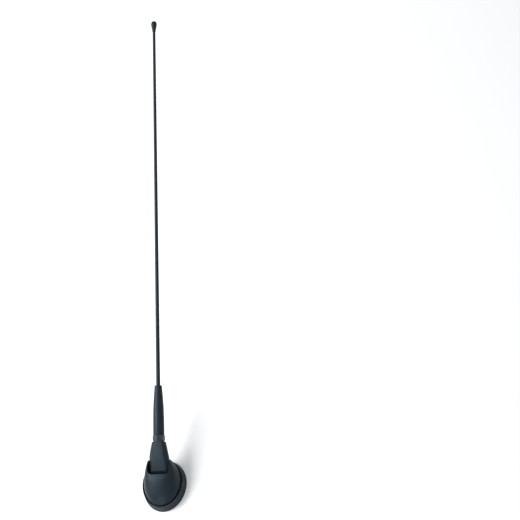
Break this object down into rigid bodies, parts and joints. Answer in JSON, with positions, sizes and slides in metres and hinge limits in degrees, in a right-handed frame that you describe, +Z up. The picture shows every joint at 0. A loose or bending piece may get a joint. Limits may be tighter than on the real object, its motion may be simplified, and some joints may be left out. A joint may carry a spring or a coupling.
{
  "type": "radio antenna",
  "caption": "Roof-mounted car radio antenna: a tapered whip with a grip sleeve, screwed into a knuckle arm that tilts in an egg-shaped dome base with a rubber gasket and a fixing stud.",
  "frame": {"origin": "on the fixing stud's axis, in the plane of the gasket's lip where it meets the roof", "axes": "+Z up from the roof along the fixing stud, +X towards the side the mast leans to, +Y across the plane of symmetry"},
  "size_m": [0.5341, 0.0516, 0.1882],
  "materials": {
    "gasket": "moulded black rubber, matte",
    "base_plate": "die casting, black paint",
    "fixing_stud": "zinc-plated steel, threaded",
    "stud_bush": "light natural plastic",
    "retaining_ring": "black plastic",
    "terminal_block": "black plastic",
    "contact_pin": "brass",
    "signal_strip": "spring brass",
    "bracket_insulator": "light plastic",
    "hinge_bracket": "plated steel",
    "bracket_screws": "plated steel",
    "pivot_bush": "bronze",
    "friction_washer_left": "spring steel",
    "friction_washer_right": "spring steel",
    "dome": "moulded plastic, satin slate black",
    "arm": "die casting, satin slate-black paint",
    "thread_insert": "brass",
    "pivot_pin": "steel",
    "seal_washer": "black rubber",
    "hex_collar": "satin black coating",
    "mast_thread": "steel",
    "whip": "black-coated glass-fibre rod",
    "loading_coil": "enamelled copper winding",
    "grip_sleeve": "moulded black rubber, satin",
    "tip_bead": "moulded black rubber"
  },
  "bodies": {
    "base": {"gasket": "gasket", "base_plate": "base_plate", "fixing_stud": "fixing_stud", "stud_bush": "stud_bush", "retaining_ring": "retaining_ring", "terminal_block": "terminal_block", "contact_pin": "contact_pin", "signal_strip": "signal_strip", "bracket_insulator": "bracket_insulator", "hinge_bracket": "hinge_bracket", "bracket_screws": "bracket_screws", "pivot_bush": "pivot_bush", "friction_washer_left": "friction_washer_left", "friction_washer_right": "friction_washer_right", "dome": "dome"},
    "arm": {"arm": "arm", "thread_insert": "thread_insert", "pivot_pin": "pivot_pin"},
    "seal": {"seal_washer": "seal_washer"},
    "mast": {"hex_collar": "hex_collar", "mast_thread": "mast_thread", "whip": "whip", "loading_coil": "loading_coil", "grip_sleeve": "grip_sleeve", "tip_bead": "tip_bead"}
  },
  "joints": [
    {"name": "arm_tilt", "type": "hinge", "parent": "base", "child": "arm", "pos_m": [0.022, 0, 0.02], "axis": [0, -1, 0], "range_deg": [-4, 40]},
    {"name": "mast_turn", "type": "hinge", "parent": "arm", "child": "seal", "pos_m": [0.04717, 0, 0.03463], "axis": [0.9511, 0, 0.309], "range_deg": [0, 3610]},
    {"name": "mast_rise", "type": "slide", "parent": "seal", "child": "mast", "axis": [0.9511, 0, 0.309], "range_m": [0, 0.008]}
  ],
  "couplings": [
    {"joint": "mast_turn", "follows": "mast_rise", "rad_per_m": 7854}
  ]
}
